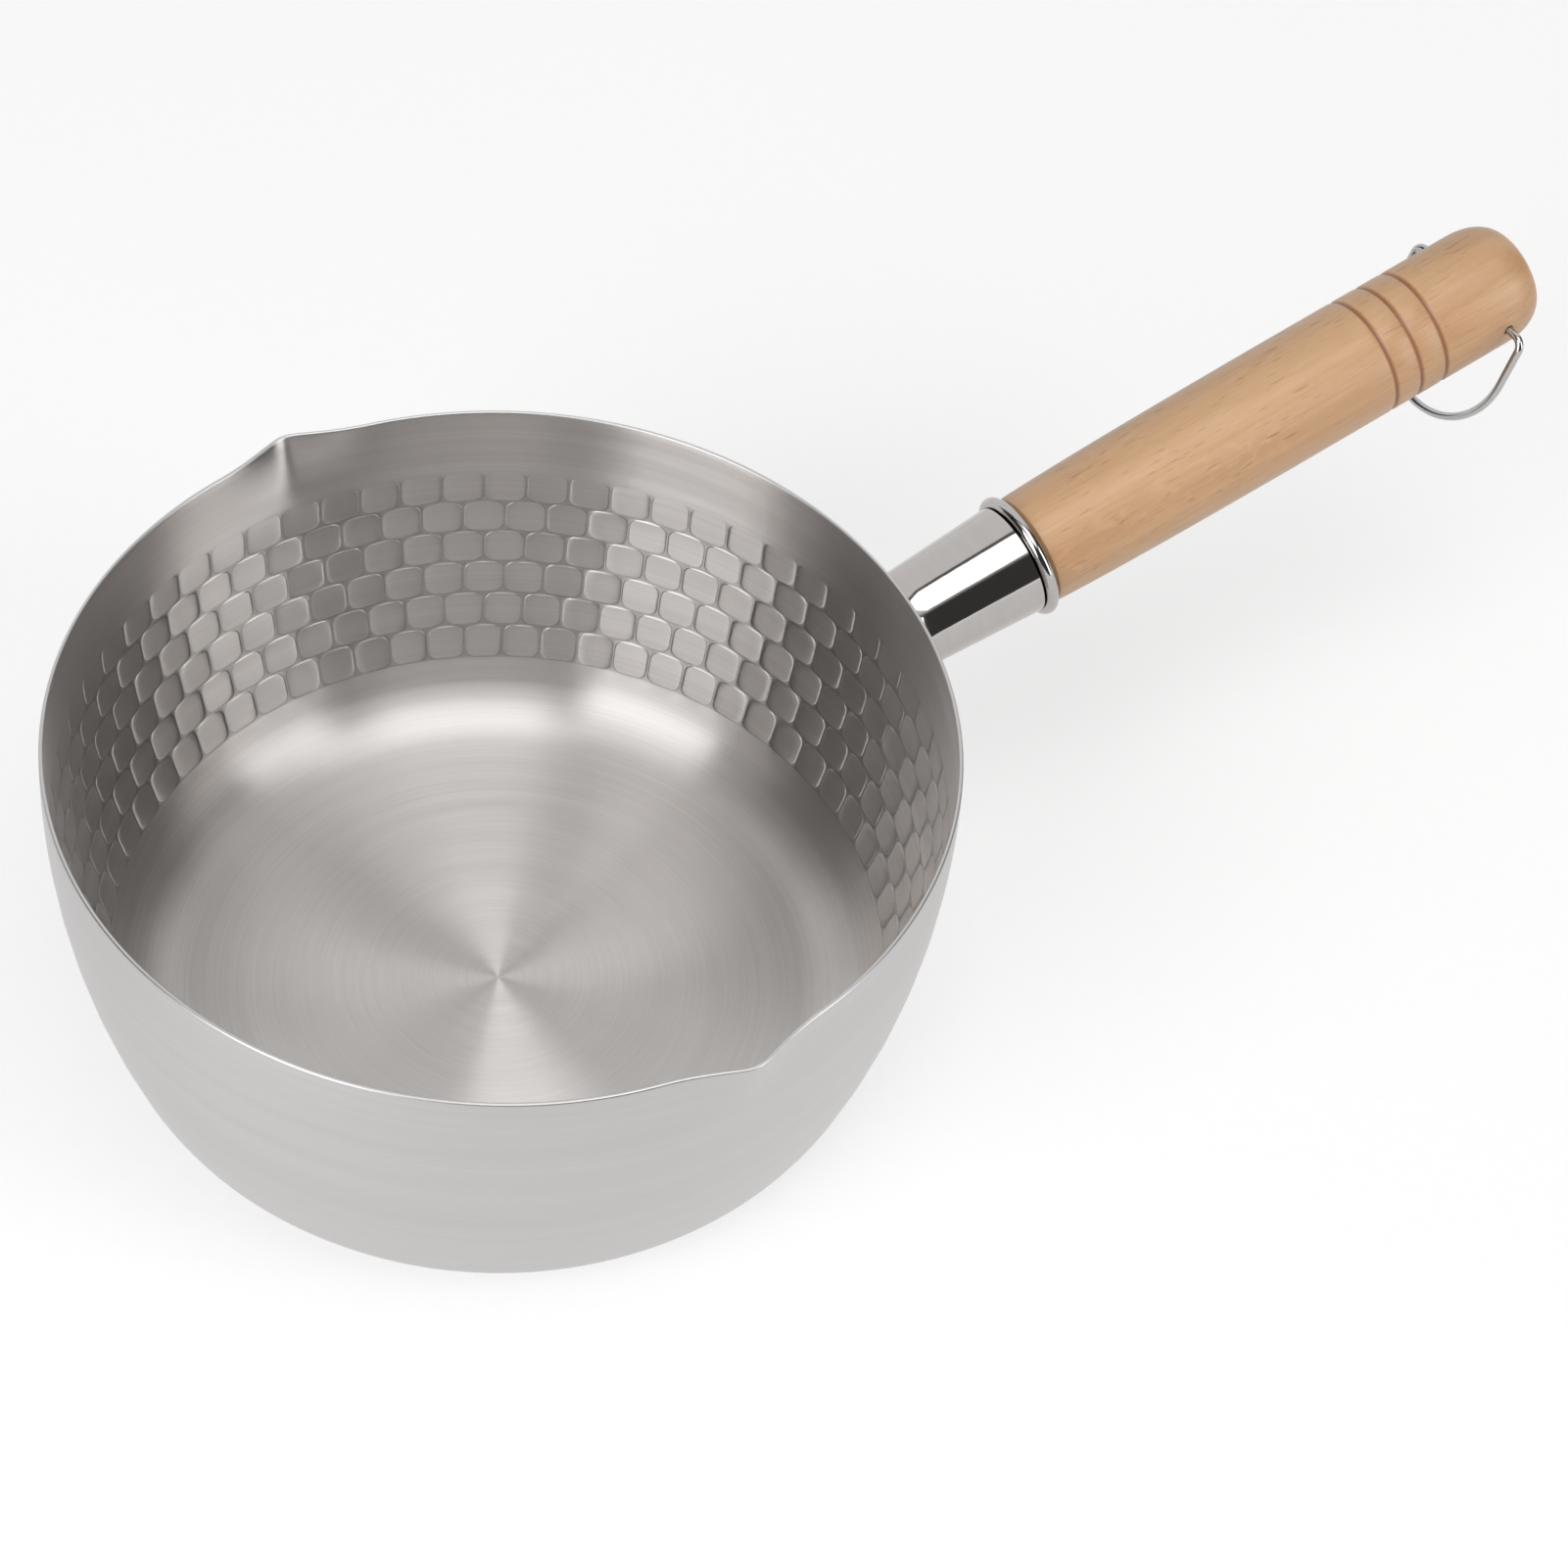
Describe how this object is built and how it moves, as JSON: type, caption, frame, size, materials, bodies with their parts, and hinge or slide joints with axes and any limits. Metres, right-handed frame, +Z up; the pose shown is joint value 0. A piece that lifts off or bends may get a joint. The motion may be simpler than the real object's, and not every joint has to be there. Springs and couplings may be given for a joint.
{
  "type": "noodle pot",
  "caption": "Steel saucepan with pour spouts in the rim, a hammered inner wall, a turned wooden handle in a polished steel socket and a swinging wire hanging ring.",
  "frame": {"origin": "centre of the flat base, on the surface that the pot stands on", "axes": "+Z up out of the bowl, +X along the handle as seen from above, spouts on +Y and -Y"},
  "size_m": [0.3808, 0.2076, 0.1173],
  "materials": {
    "satin_steel": "satin, brushed round the bowl",
    "polished_steel": "mirror polished stainless steel",
    "weld_steel": "buffed weld",
    "beech": "clear lacquer over beech",
    "screw_steel": "plain stainless steel",
    "wire_steel": "drawn and polished wire"
  },
  "bodies": {
    "pan": {"pot_bowl": "satin_steel", "handle_socket": "polished_steel", "socket_weld": "weld_steel", "wood_handle": "beech", "handle_screw": "screw_steel"},
    "ring": {"hanging_ring": "wire_steel"}
  },
  "joints": [
    {"name": "ring_swing", "type": "hinge", "parent": "pan", "child": "ring", "pos_m": [0.26707, 0, 0.10211], "axis": [0, 1, 0], "range_deg": [-270, 30]}
  ]
}
